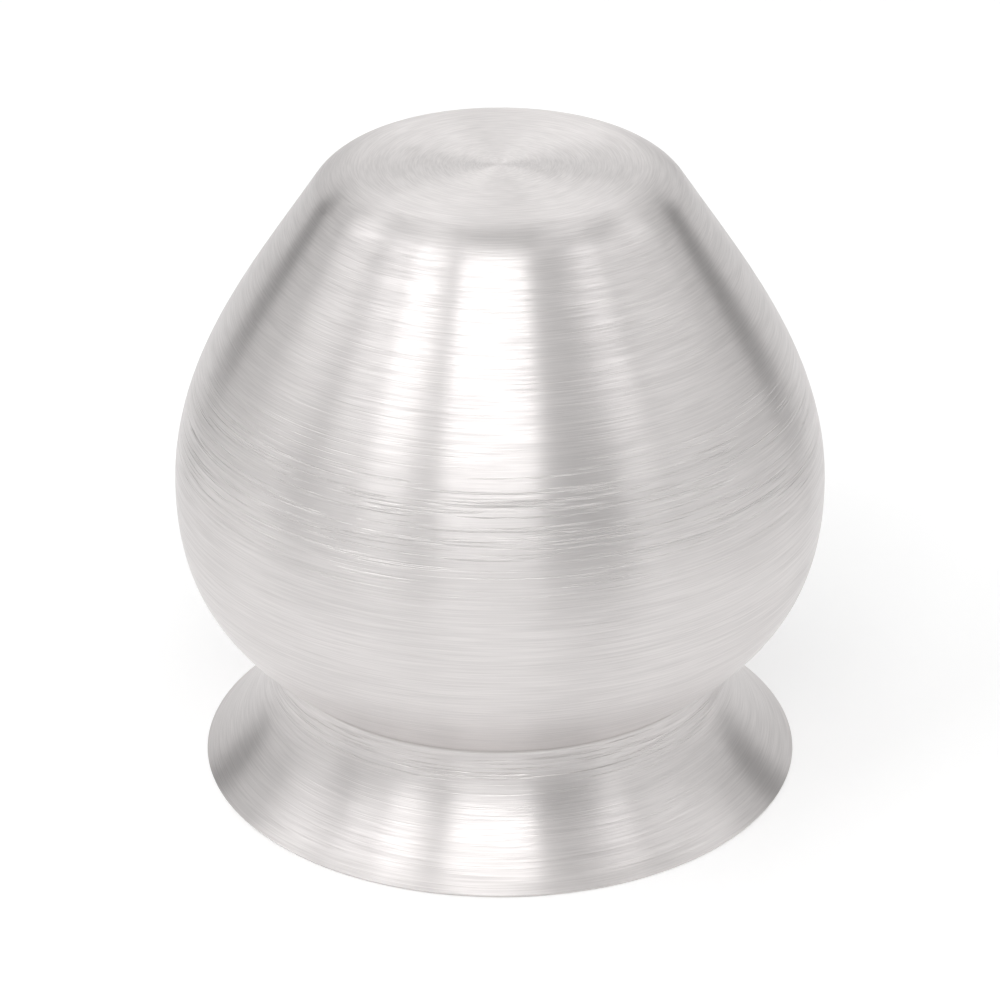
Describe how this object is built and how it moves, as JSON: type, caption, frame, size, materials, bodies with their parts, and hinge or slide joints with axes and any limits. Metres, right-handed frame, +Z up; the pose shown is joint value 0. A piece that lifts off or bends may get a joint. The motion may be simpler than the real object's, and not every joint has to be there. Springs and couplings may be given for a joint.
{
  "type": "lota",
  "caption": "Round-bellied metal water pot with a flat base, creased neck and flared mouth, standing turned over on its mouth.",
  "frame": {"origin": "centre of the mouth, on the plane that the rim stands on", "axes": "+Z up along the pot's axis, from the mouth to the base; the pot stands turned over on its mouth"},
  "size_m": [0.115, 0.115, 0.114],
  "materials": {
    "brushed_metal": "turned and brushed round the axis",
    "solder": "wiped silver solder"
  },
  "bodies": {
    "root": {"base_bowl": "brushed_metal", "shoulder_dome": "brushed_metal", "flared_mouth": "brushed_metal", "neck_solder_bead": "solder"}
  },
  "joints": []
}
